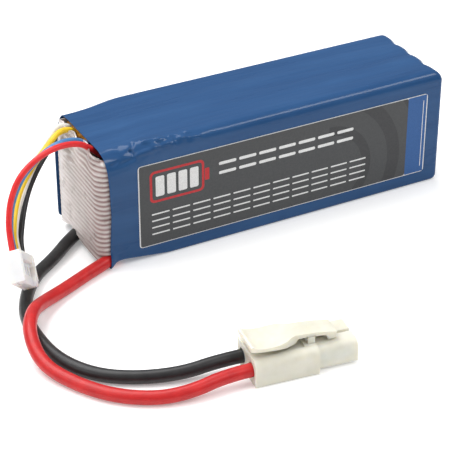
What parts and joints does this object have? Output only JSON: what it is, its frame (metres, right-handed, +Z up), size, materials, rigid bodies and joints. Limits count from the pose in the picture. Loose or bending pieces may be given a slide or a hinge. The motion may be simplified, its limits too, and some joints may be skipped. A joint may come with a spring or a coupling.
{
  "type": "lithium polymer battery pack",
  "caption": "Flat rectangular shrink-wrapped battery pack with two power leads to a latching connector and a thin balance lead to a small plug.",
  "frame": {"origin": "centre of the pack's box on the surface it lies on, measured without its leads", "axes": "+X along the pack to its closed end, -X to the end the leads leave, -Y out of the labelled side, +Z up from the long narrow side it lies on"},
  "size_m": [0.1386, 0.0964, 0.0378],
  "materials": {
    "sleeve_film": "glossy shrunk PVC film",
    "label_film": "printed film, satin",
    "insulation_card": "pressed fish paper",
    "circuit_board": "solder mask",
    "solder": "smooth solder",
    "polyimide": "amber film",
    "filament_tape": "clear film over parallel glass filaments",
    "silicone_red": "silicone jacket, satin",
    "silicone_black": "silicone jacket, satin",
    "silicone_blue": "silicone jacket, satin",
    "silicone_yellow": "silicone jacket, satin",
    "silicone_white": "silicone jacket, satin",
    "tinned_copper": "stranded, tinned",
    "ivory_nylon": "moulded nylon, satin",
    "white_nylon": "moulded nylon, satin",
    "gold_plate": "gold plate",
    "tin_plate": "bright tin plate",
    "pouch_foil": "laminated foil pouch, satin",
    "aluminium_tab": "rolled strip",
    "nickel_tab": "rolled nickel strip",
    "spacer_foam": "thin adhesive foam"
  },
  "bodies": {
    "pack": {"balance_board": "circuit_board", "balance_plug_contacts": "tin_plate", "balance_plug_housing": "white_nylon", "balance_wire_black": "silicone_black", "balance_wire_blue": "silicone_blue", "balance_wire_red": "silicone_red", "balance_wire_solder_joints": "solder", "balance_wire_white": "silicone_white", "balance_wire_yellow": "silicone_yellow", "cell_1": "pouch_foil", "cell_1_negative_tab": "nickel_tab", "cell_1_positive_tab": "aluminium_tab", "cell_2": "pouch_foil", "cell_2_negative_tab": "nickel_tab", "cell_2_positive_tab": "aluminium_tab", "cell_3": "pouch_foil", "cell_3_negative_tab": "nickel_tab", "cell_3_positive_tab": "aluminium_tab", "cell_4": "pouch_foil", "cell_4_negative_tab": "nickel_tab", "cell_4_positive_tab": "aluminium_tab", "cell_spacer_pad_1": "spacer_foam", "cell_spacer_pad_2": "spacer_foam", "cell_spacer_pad_3": "spacer_foam", "end_wrap_tape": "filament_tape", "heat_shrink_sleeve": "sleeve_film", "label": "label_film", "main_lead_solder_joints": "solder", "negative_lead": "silicone_black", "negative_lead_strands": "tinned_copper", "negative_socket_contact": "gold_plate", "polyimide_tape": "polyimide", "positive_lead": "silicone_red", "positive_lead_strands": "tinned_copper", "positive_socket_contact": "gold_plate", "power_connector_housing": "ivory_nylon", "tab_insulation_card": "insulation_card", "tab_solder_joints": "solder"},
    "latch": {"power_connector_latch": "ivory_nylon"}
  },
  "joints": [
    {"name": "latch_rock", "type": "hinge", "parent": "pack", "child": "latch", "pos_m": [-0.02551, -0.07479, 0.0084], "axis": [-0.1305, -0.9914, 0], "range_deg": [0, 5], "stiffness_Nm_per_rad": 0.4}
  ]
}
